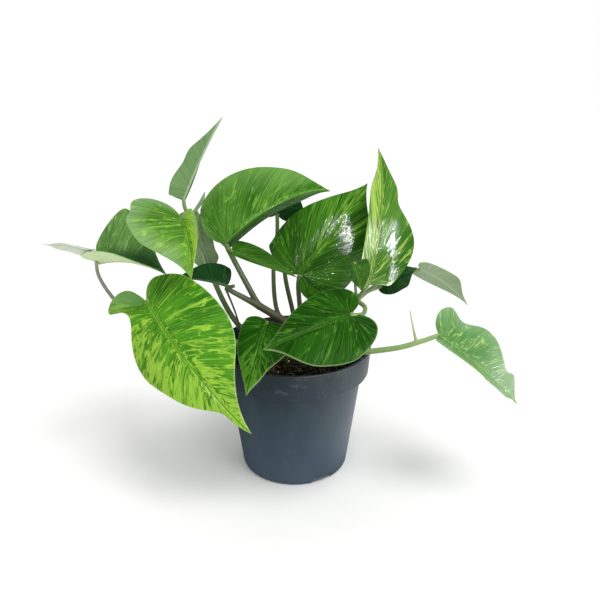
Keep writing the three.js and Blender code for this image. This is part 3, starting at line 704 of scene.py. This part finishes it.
# Each blade, in millimetres and degrees: the ends of its midrib, the way its upper side looks, the
# widths of its left and right half, the midrib's arch, each half's fold and curl, the reach of each
# lobe, and the swing and number of waves in its margin. A bay draws one half's margin in or, below
# zero, swells it out: the half, the row of its middle, its spread and its depth. fan is the share
# of the side veins that spring from the base, and skin names the skin.
LEAVES = {
    "front_left": dict(
        base=(-104, -38, 151), tip=(-29, -78, 68), face=(-0.3, -0.8, 0.5), half=(32, 36), arch=50,
        fold=(5, 5), curl=(25, 45), lobe=(0.6, 1.35), wave=1.5, waves=3, skin="marbled",
        bays=((1, 0.2, 0.11, -0.95), (1, 0.39, 0.07, 0.5), (1, 0.52, 0.09, -0.2),
              (1, 0.88, 0.08, 0.55), (0, 0.62, 0.2, -0.45))),
    "front": dict(
        base=(39, -48, 145), tip=(-21, -75, 130), face=(-0.1, -0.85, 0.5), half=(31, 25), arch=30,
        fold=(5, 5), curl=(25, 35), lobe=(1.6, 1.3), wave=1, waves=3, fan=0.4, skin="deep",
        bays=((0, 0.8, 0.15, -0.3), (0, 0.2, 0.1, -0.05), (1, 0.6, 0.15, 0.1))),
    "front_low": dict(
        base=(-19, -48, 139), tip=(-33, -70, 93), face=(-0.1, -0.85, 0.5), half=(21, 17), arch=30,
        fold=(5, 5), curl=(30, 30), lobe=(0.15, 0.35), wave=1, waves=2, fan=0.35, skin="low",
        bays=((0, 0.7, 0.12, 0.2), (0, 0.35, 0.08, -0.15))),
    "middle": dict(
        base=(4, 0, 159), tip=(55, 18, 225), face=(0.1, -0.9, 0.4), half=(38, 38), arch=40,
        fold=(5, 0), curl=(60, 40), lobe=(0.4, 1), wave=1, waves=3, fan=0.6, skin="glossy",
        bays=((0, 0.36, 0.05, -0.12), (1, 0.85, 0.12, -0.3))),
    "small_right": dict(
        base=(44, -18, 174), tip=(50, -22, 152), face=(0, -0.9, 0.4), half=(10, 8), arch=10,
        fold=(10, 10), curl=(10, 10), lobe=(0.2, 0.2), wave=0, waves=2, skin="inner"),
    "tall_right": dict(
        base=(55, -12, 155), tip=(62, 20, 251), face=(0.4, -0.9, 0.2), half=(11, 36), arch=45,
        fold=(10, 0), curl=(20, 20), lobe=(0.2, 0), wave=1, waves=3, fan=0.45, skin="variegated",
        bays=((1, 0.7, 0.08, 0.35), (1, 0.28, 0.17, 0.6), (1, 0.16, 0.08, 0.5),
              (1, 0.5, 0.09, -0.2), (0, 0.8, 0.12, -0.8))),
    "top": dict(
        base=(-51, 0, 183), tip=(28, 30, 217), face=(0, -0.65, 0.75), half=(43, 18), arch=76,
        fold=(20, -95), curl=(30, 20), lobe=(0.5, 0.3), wave=1, waves=2, fan=0.45, skin="arched",
        bays=((0, 0.25, 0.12, 0.1), (0, 0.6, 0.2, -0.06), (0, 0.87, 0.12, -0.3),
              (1, 0.35, 0.15, 0.4), (1, 0.85, 0.1, -0.3))),
    "behind_top": dict(
        base=(-14, 42, 197), tip=(-8, 50, 224), face=(0.1, -0.95, 0.3), half=(18, 20), arch=20,
        fold=(10, 10), curl=(20, 20), lobe=(1, 1), wave=0, waves=2, skin="shaded"),
    "back": dict(
        base=(0, 46, 185), tip=(50, 72, 178), face=(0, 0.5, 0.85), half=(26, 26), arch=40,
        fold=(15, 15), curl=(20, 20), lobe=(1, 1), wave=1, waves=3, skin="glossy"),
    "inner_middle": dict(
        base=(-46, -4, 178), tip=(3, -18, 162), face=(0.2, -0.6, 0.75), half=(13, 3), arch=5,
        fold=(5, 5), curl=(10, 10), lobe=(0.3, 0.3), wave=0, waves=2, fan=0.5, skin="inner"),
    "inner_left": dict(
        base=(-51, -8, 152), tip=(-89, -14, 160), face=(0, -0.4, 0.9), half=(16, 16), arch=30,
        fold=(50, 35), curl=(10, 10), lobe=(0.3, 0.3), wave=0, waves=2, skin="shaded"),
    "left": dict(
        base=(-79, -12, 204), tip=(-69, -50, 171), face=(0.35, -0.5, 0.75), half=(12, 44), arch=50,
        fold=(75, 12), curl=(10, 15), lobe=(0.2, 2.6), wave=1, waves=2, fan=0.35, skin="lively",
        bays=((1, 0.22, 0.12, -0.2), (1, 0.42, 0.08, 0.08), (1, 0.72, 0.12, -0.2))),
    "tall_left": dict(
        base=(-82, 8, 214), tip=(-52, 18, 273), face=(-0.8, 0.6, 0.2), half=(15, 15), arch=10,
        fold=(45, 45), curl=(10, 10), lobe=(0, 0), wave=1, waves=2, skin="erect",
        bays=((1, 0.55, 0.08, 0.25), (1, 0.38, 0.08, 0.1))),
    "behind_left": dict(
        base=(-76, 15, 198), tip=(-66, 15, 150), face=(-0.5, 0.85, 0.1), half=(16, 16), arch=20,
        fold=(20, 20), curl=(10, 10), lobe=(1, 1), wave=0, waves=2, skin="sagging",
        bays=((1, 0.3, 0.22, 0.6), (1, 0.85, 0.12, -1.2))),
    "far_left": dict(
        base=(-155, 26, 160), tip=(-91, -24, 166), face=(0.1, -0.3, 0.9), half=(38, 20), arch=30,
        fold=(50, 50), curl=(10, 10), lobe=(1, 0.2), wave=1, waves=2, skin="lilting",
        bays=((0, 0.42, 0.1, -0.3),)),
    "far_left_tip": dict(
        base=(-161, 22, 172.5), tip=(-193, 10, 180), face=(0, 0.2, 1), half=(15, 12), arch=20,
        fold=(10, -30), curl=(10, 10), lobe=(0.6, 0.6), wave=1, waves=2, skin="pale"),
    "right": dict(
        base=(68, 14, 149), tip=(95, 9, 162), face=(0.1, -0.9, 0.3), half=(13, 13), arch=30,
        fold=(0, 0), curl=(20, 20), lobe=(1, 1), wave=0, waves=2, skin="shaded",
        bays=((1, 0.75, 0.12, -0.4),)),
    "far_right": dict(
        base=(99, 18, 158), tip=(138, 14, 129), face=(0.3, 0.8, 0.5), half=(11, 10), arch=40,
        fold=(10, 10), curl=(10, 10), lobe=(0.6, 0.6), wave=0, waves=2, skin="drooping",
        bays=((1, 0.72, 0.15, -0.8),)),
    "low_right": dict(
        base=(104, -40, 126), tip=(160, -55, 79), face=(0.35, -0.75, 0.55), half=(35, 17), arch=20,
        fold=(0, 50), curl=(20, 10), lobe=(0.85, 0.1), wave=2, waves=2, skin="washed",
        bays=((0, 0.45, 0.06, 0.3), (0, 0.62, 0.08, -0.1), (0, 0.92, 0.06, -1.6),
              (1, 0.7, 0.1, -0.2), (1, 0.9, 0.07, -1.6))),
}
MIDRIB_STEPS = 24
LATE_BEND = 1.3  # above 1, a midrib bends more towards its tip
FURROW_DEPTH, FURROW_WIDTH = 0.00035, 0.0011  # of the midrib's furrow, in metres


def blade_surface(leaf):
    """Returns at(row, reach, sign), a point of the blade's middle surface in metres, and the
    midrib's length. Rows follow the side veins from the sinus to the tip, and reach goes out to
    the margin."""
    base = Vector(leaf["base"]) / 1000
    chord = Vector(leaf["tip"]) / 1000 - base
    arch = math.radians(leaf["arch"])
    line = [Vector((0, 0))]
    for i in range(MIDRIB_STEPS):
        angle = -arch * ((i + 0.5) / MIDRIB_STEPS) ** LATE_BEND
        line.append(line[-1] + Vector((math.cos(angle), math.sin(angle))) / MIDRIB_STEPS)
    length = chord.length / line[-1].length
    along = chord.normalized()
    side = along.cross(Vector(leaf["face"])).normalized()
    droop = math.atan2(line[-1].y, line[-1].x)
    tilt = Matrix.Rotation(-droop, 3, side)
    forward, above = tilt @ along, tilt @ side.cross(along)

    def at(row, reach, sign):
        own = 0 if sign < 0 else 1
        half = leaf["half"][own] / 1000
        fold, curl = math.radians(leaf["fold"][own]), math.radians(leaf["curl"][own])
        margin = margin_at(row)
        if margin.y < 0:
            margin.y *= leaf["lobe"][own]
        for half_of, middle, spread, depth in leaf.get("bays", ()):
            if half_of == own:
                margin.x *= 1 - depth * math.exp(-(((row - middle) / spread) ** 2))
        fan = leaf.get("fan", 0.18)
        start = 0.03 * row + 0.97 * (max(0, row - fan) / (1 - fan)) ** (1.7 + fan)
        share = start + (margin.y - start) * reach**1.15
        out = margin.x * reach
        lift = (math.cos(fold - curl * out) - math.cos(fold)) / curl
        across = (math.sin(fold) - math.sin(fold - curl * out)) / curl
        swing = leaf["wave"] / 1000 * math.sin(2 * math.pi * leaf["waves"] * row + sign) * reach**2
        swing *= math.sqrt(max(0, math.sin(math.pi * row)))
        spot = min(max(share, 0), 1) * MIDRIB_STEPS
        i = min(int(spot), MIDRIB_STEPS - 1)
        rib = line[i].lerp(line[i + 1], spot - i)
        if share < 0:
            rib.x += share
        turn = 0 if share < 0 else -arch * share**LATE_BEND
        rise = Matrix.Rotation(turn, 3, side) @ above
        distance = out * half
        furrow = FURROW_DEPTH * math.exp(-((distance / FURROW_WIDTH) ** 2))
        furrow = furrow * min(1, 8 * row) * min(1, 6 * (1 - row))
        place = base + forward * rib.x * length + above * rib.y * length
        place = place + side * sign * across * half
        place += rise * (lift * half + swing - furrow)
        return place, sign * distance, (margin.x - out) * half

    return at, length


SMALL_BLADE = 0.05  # a blade no longer than this has a coarser grid
BLADE_THICKNESS = 0.0006


def build_blade(name, leaf, skins):
    """The blade as a grid bent onto its surface and thickened, with skins for top, back and rim."""
    at, length = blade_surface(leaf)
    rows, columns = (56, 14) if length > SMALL_BLADE else (36, 9)
    bpy.ops.mesh.primitive_grid_add(x_subdivisions=2 * columns, y_subdivisions=rows, size=2)
    blade = bpy.context.object
    blade.name = name
    veins = blade.data.attributes.new("veins", "FLOAT_VECTOR", "POINT")
    run = OUTLINE_FAR[-1] * length
    for i, corner in enumerate(blade.data.vertices):
        row, reach = (corner.co.y + 1) / 2, abs(corner.co.x) ** 1.35  # closer near the midrib
        place, across, inward = at(row, reach, -1 if corner.co.x < 0 else 1)
        corner.co = place
        veins.data[i].vector = (across * 1000, row * run * 1000, inward * 1000)
    edit(blade)
    bpy.ops.mesh.remove_doubles(threshold=1e-6)
    bpy.ops.object.mode_set(mode="OBJECT")
    for skin in skins:
        blade.data.materials.append(skin)
    sheet = blade.modifiers.new("sheet", "SOLIDIFY")
    sheet.thickness, sheet.offset = BLADE_THICKNESS, 0
    sheet.material_offset, sheet.material_offset_rim = 1, 2
    bpy.ops.object.modifier_apply(modifier="sheet")
    bpy.ops.object.shade_smooth_by_angle(angle=math.radians(60))
    return blade


def vein_map(skin, seed, apart=0):
    """The blade's own map. Its parts are mm from the midrib, below zero on the left half, mm round
    the veins, and mm to the margin. Patterns are spread on its sheet, on which the two halves lie
    apart."""
    place = add_node(skin, "Attribute", attribute_name="veins").outputs["Vector"]
    parts = add_node(skin, "SeparateXYZ", {0: place}).outputs
    ends = {"From Min": -4, "From Max": 4, "To Min": seed, "To Max": seed + apart}
    half = add_node(skin, "MapRange", {"Value": parts["X"], **ends}).outputs["Result"]
    sheet = add_node(skin, "CombineXYZ", {0: parts["X"], 1: parts["Y"], 2: half}).outputs[0]
    return parts, sheet


def vein_noise(skin, sheet, across, around, shift=0, **settings):
    """Noise drawn out along the side veins: its scales are per mm along a vein and per mm across
    it, and a shift gives another pattern of its kind."""
    vector = add_node(
        skin, "VectorMath", {0: sheet, 1: (across, around, 1), 2: (0, 0, shift)},
        operation="MULTIPLY_ADD",
    ).outputs[0]
    return add_node(skin, "TexNoise", {"Vector": vector, "Scale": 1, **settings}).outputs["Fac"]


def summed(skin, *terms):
    """Patterns added up, each by its weight."""
    total = 0.0
    for pattern, weight in terms:
        total = add_node(
            skin, "Math", {0: pattern, 1: weight, 2: total}, operation="MULTIPLY_ADD"
        ).outputs[0]
    return total


# Living leaf under a waxy cuticle: it gives sharp streaks of light, which the ridges between the
# veins, 1 to 3 mm apart, break up.
def leaf_top_skin(
    name, seed, tones, marks, left_light=None, tip_light=None, painted_sheen=None, painted_sheen_amount=0, painted_sheen_wash=None,
    band=None, fineness=1.0, roughness=0.2, gloss=0.35,
):
    """Upper skin: green, with yellow-green marbling that runs out along the side veins."""
    deep, green, light, edge = tones
    marbling, flecks, lines, pale_margin_and_highlight = marks
    skin, shader = new_material(name)
    parts, sheet = vein_map(skin, seed, apart=3)
    broad = vein_noise(skin, sheet, 0.025, 0.03, 5, Detail=1)
    streaks = vein_noise(skin, sheet, 0.04, 0.3, 0, Detail=5, Roughness=0.62, Distortion=0.6)
    threads = vein_noise(skin, sheet, 0.1, 1.3, 9, Detail=3, Roughness=0.6, Distortion=0.3)
    blotches = vein_noise(skin, sheet, 0.085, 0.13, 17, Detail=6, Roughness=0.6, Distortion=1.2)
    shadows = vein_noise(skin, sheet, 0.07, 0.16, 29, Detail=6, Roughness=0.62, Distortion=1.0)
    swell = vein_noise(skin, sheet, 0.01, 0.16, 41, Detail=1)
    centred = add_node(skin, "Math", {0: swell, 1: 0.5}, operation="SUBTRACT").outputs[0]
    veined = add_node(skin, "Math", {0: centred}, operation="ABSOLUTE").outputs[0]
    off = add_node(skin, "Math", {0: parts["X"]}, operation="ABSOLUTE").outputs[0]

    ground = summed(skin, (broad, 0.5), (streaks, 0.5))
    flush = [(blotches, 1), (streaks, 0.1), (threads, 0.14)]
    for follows, ends in ((parts["X"], left_light), (parts["Y"], tip_light)):
        if ends:
            ends = dict(zip(("From Min", "From Max", "To Max"), ends))
            lit = add_node(skin, "MapRange", {"Value": follows, **ends}).outputs["Result"]
            flush.append((lit, 1))
    start = 0.76 - 0.14 * marbling
    tone = coat(skin, colour(deep), green, (ground, 0.42, 0.58, 1))
    tone = coat(skin, tone, light, (summed(skin, *flush), start - 0.01, start + 0.09, 0.95))
    dusky = summed(skin, (shadows, 1), (threads, 0.1))
    tone = coat(skin, tone, deep, (dusky, 0.58, 0.7, flecks))
    tone = coat(skin, tone, light, (threads, 0.52, 0.7, 0.22))
    tone = coat(skin, tone, deep, (threads, 0.48, 0.32, 0.3))
    tone = coat(skin, tone, light, (veined, 0.022, 0.0, lines))
    # Painted sheen: a paler tone laid along the margin and by the distance round the veins.
    if painted_sheen_amount:
        tone = coat(skin, tone, painted_sheen, (parts["Z"], 15, 1, painted_sheen_amount), (off, 4, 12, 1))
    if painted_sheen_wash:
        tone = coat(skin, tone, painted_sheen, (parts["Y"], *painted_sheen_wash[:3]), (parts["X"], *painted_sheen_wash[3:], 1))
    # Painted shade: a darker green laid by the distance from the midrib.
    if band:
        tone = coat(skin, tone, band[3], (parts["X"], *band[:3]))
    # Along the midrib: a painted light either side of it and a painted shade in its furrow.
    tone = coat(skin, tone, light, (off, 1.6, 0.5, 0.45))
    tone = coat(skin, tone, deep, (off, 0.55, 0.25, 0.8))
    # Pale margin: its own colour, with a painted highlight that is stronger on the left half.
    tone = coat(skin, tone, edge, (parts["Z"], 0.8, 0.2, pale_margin_and_highlight), (parts["X"], 2, -2, 1, 0.25))

    ridges = vein_noise(
        skin, sheet, 0.03, 0.3 * fineness, 53, Detail=3, Roughness=0.45, Distortion=0.5
    )
    pleats = vein_noise(
        skin, sheet, 0.16, 0.8 * fineness, 83, Detail=2, Roughness=0.4, Distortion=0.4
    )
    cells = vein_noise(skin, sheet, 0.3, 0.8 * fineness, 71, Detail=2)
    sunk = add_node(skin, "MapRange", {"Value": veined, "From Min": 0.06, "From Max": 0.0})
    quilt = summed(
        skin, (cells, 0.35), (ridges, 0.65), (pleats, 0.6), (sunk.outputs["Result"], -0.15)
    )
    relief = add_node(skin, "Bump", {"Height": quilt, "Strength": 0.7, "Distance": 0.0005})
    wax = vein_noise(skin, sheet, 0.12, 0.5, 67, Detail=3)
    ends = {"From Min": 0.42, "From Max": 0.6, "To Min": 0.7 * roughness, "To Max": 1.5 * roughness}
    gleam = add_node(skin, "MapRange", {"Value": wax, **ends}).outputs["Result"]
    finish_shader(
        shader, Base_Color=tone, Roughness=gleam, IOR=1.45, Specular_IOR_Level=gloss,
        Normal=relief.outputs["Normal"],
    )
    return skin


def leaf_under_skin(name, seed, green, pale):
    """Underside, with little wax: dull and pale, with faint darker veins and a light keel along the
    midrib."""
    skin, shader = new_material(name)
    parts, sheet = vein_map(skin, seed)
    cloud = vein_noise(skin, sheet, 0.05, 0.3, Detail=4, Distortion=0.5)
    threads = vein_noise(skin, sheet, 0.06, 1.1, Detail=3)
    tone = add_node(skin, "ValToRGB", {"Fac": cloud}, [(0.35, green), (0.65, pale)])
    off = add_node(skin, "Math", {0: parts["X"]}, operation="ABSOLUTE").outputs[0]
    lined = coat(skin, tone.outputs["Color"], green, (threads, 0.52, 0.66, 0.4))
    keeled = coat(skin, lined, "#b9c8a4", (off, 1.4, 0.6, 0.7))
    relief = add_node(skin, "Bump", {"Height": threads, "Strength": 0.5, "Distance": 0.0007})
    finish_shader(
        shader, Base_Color=keeled, Roughness=0.55, Specular_IOR_Level=0.25,
        Normal=relief.outputs["Normal"],
    )
    return skin


def leaf_margin_skin(name, seed, pale, fresh):
    """The blade's thin horny edge: faintly clouded, with a soft sheen."""
    skin, shader = new_material(name)
    _, sheet = vein_map(skin, seed)
    cloud = vein_noise(skin, sheet, 0.1, 0.2, Detail=2)
    tone = add_node(skin, "ValToRGB", {"Fac": cloud}, [(0.35, pale), (0.65, fresh)])
    finish_shader(shader, Base_Color=tone.outputs["Color"], Roughness=0.5, Specular_IOR_Level=0.3)
    return skin


# Each skin. Its tones are the dark and the fresh green of the ground, the marbling and the margin,
# and its marks are how much marbling, dark flecks, pale vein lines and pale margin show. The other
# changes are given as the mm on the blade's map where they start and where they are full, and an
# amount. left_light and tip_light add marbling by the distance from the midrib and round the veins.
# hazing is how much painted sheen lies along the margin, in the haze tone; wash lays that painted
# sheen by the distance round the veins and, after its amount, from the midrib; band lays a painted
# shade colour by the distance from the midrib. fineness spreads out the relief of a narrow half,
# and under has the underside's two tones.
LEAF_SKINS = {
    "marbled": dict(
        tones=("#2f7218", "#509421", "#9ccb42", "#c3d99c"), marks=(0.5, 0.5, 0.8, 0.5),
        left_light=(4, 24, 0.14), tip_light=(165, 265, 0.15), painted_sheen="#6fa05c",
        painted_sheen_wash=(80, 45, 0.85, 0, 6), gloss=0.2, under=("#6f9a58", "#8fb272")),
    "variegated": dict(
        tones=("#2f6a1b", "#578d33", "#b0d460", "#a5c566"), marks=(0.6, 0.7, 0.3, 0.3),
        left_light=(1, -1, 0.12), fineness=0.42, roughness=0.08, under=("#6f9a58", "#8fb272")),
    "lively": dict(
        tones=("#3f7526", "#6c9f40", "#a5d63c", "#8fb070"), marks=(0.5, 0.8, 0.6, 0.2),
        left_light=(0, -5, 0.25), painted_sheen="#8cac7c", painted_sheen_amount=0.55, gloss=0.2,
        under=("#86b04a", "#9cc45c")),
    "glossy": dict(
        tones=("#194b08", "#3c7a1b", "#74aa38", "#3d6e26"), marks=(0.5, 0.6, 0.5, 0.3),
        tip_light=(150, 210, 0.08), roughness=0.08, gloss=0.5, under=("#5f8a46", "#7ea063")),
    "arched": dict(
        tones=("#2e6715", "#5c9733", "#86ba4c", "#7da35a"), marks=(0.5, 0.6, 0.5, 0.2),
        painted_sheen="#79a657", painted_sheen_amount=0.5, band=(0.2, 1.5, 0.85, "#2c6512"), gloss=0.25,
        under=("#4f7f36", "#6a9650")),
    "deep": dict(
        tones=("#123c05", "#255a0f", "#528a2b", "#b4cf8a"), marks=(0.45, 0.6, 0.5, 0.4),
        roughness=0.24, gloss=0.06, under=("#5f8548", "#7d9f63")),
    "low": dict(
        tones=("#0e3304", "#1f520c", "#56922a", "#b4cf8a"), marks=(0.3, 0.5, 0.4, 0.5),
        tip_light=(80, 120, 0.2), roughness=0.24, gloss=0.06, under=("#5f8548", "#7d9f63")),
    "inner": dict(
        tones=("#22500f", "#3f6f22", "#6b9840", "#5c7c3c"), marks=(0.3, 0.4, 0.3, 0.2),
        roughness=0.45, gloss=0.04, under=("#5f8548", "#7d9f63")),
    "shaded": dict(
        tones=("#143a18", "#1f4d1f", "#3d6f33", "#3d6330"), marks=(0.2, 0.4, 0.3, 0.2),
        roughness=0.3, gloss=0.1, under=("#5c8050", "#72946a")),
    "lilting": dict(
        tones=("#47782f", "#6a9a4a", "#9cc873", "#8fb070"), marks=(0.6, 0.7, 0.4, 0.3),
        band=(-15, -5, 0.8, "#24552c"), gloss=0.25, under=("#d3ecae", "#e4f5c4")),
    "pale": dict(
        tones=("#cad5be", "#dfe6d6", "#edf1e6", "#dbe3d0"), marks=(0.3, 0.3, 0.3, 0.3),
        under=("#d2ddc8", "#e6eddd")),
    "drooping": dict(
        tones=("#74995f", "#94b083", "#aec89d", "#a9bd98"), marks=(0.3, 0.3, 0.3, 0.3),
        under=("#94b083", "#a9c199")),
    "erect": dict(
        tones=("#5f8450", "#7d9c6b", "#9cb888", "#8fa97e"), marks=(0.3, 0.3, 0.3, 0.3),
        under=("#638d4c", "#739c5c")),
    "washed": dict(
        tones=("#4a8440", "#68995a", "#aed27c", "#b9d19e"), marks=(0.65, 0.6, 0.35, 0.3),
        painted_sheen="#a6c29a", painted_sheen_amount=0.35, painted_sheen_wash=(120, 165, 0.6, -60, -59), gloss=0.2,
        under=("#8fb07c", "#aac79a")),
}
LEAF_SKINS["sagging"] = {**LEAF_SKINS["drooping"], "under": ("#809b66", "#95ae7d")}
for number, (part, leaf) in enumerate(LEAVES.items()):
    upper = dict(LEAF_SKINS[leaf["skin"]])
    under = upper.pop("under")
    _, green, light, _ = upper["tones"]
    seed = 3.7 * number
    skins = (
        leaf_top_skin(f"{part}_top_skin", seed, **upper),
        leaf_under_skin(f"{part}_under_skin", seed, *under),
        leaf_margin_skin(f"{part}_margin", seed, light, green),
    )
    blade = build_blade(f"{part}_blade", leaf, skins)
    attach(blade, "root")
    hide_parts(f"leaf_{part}")
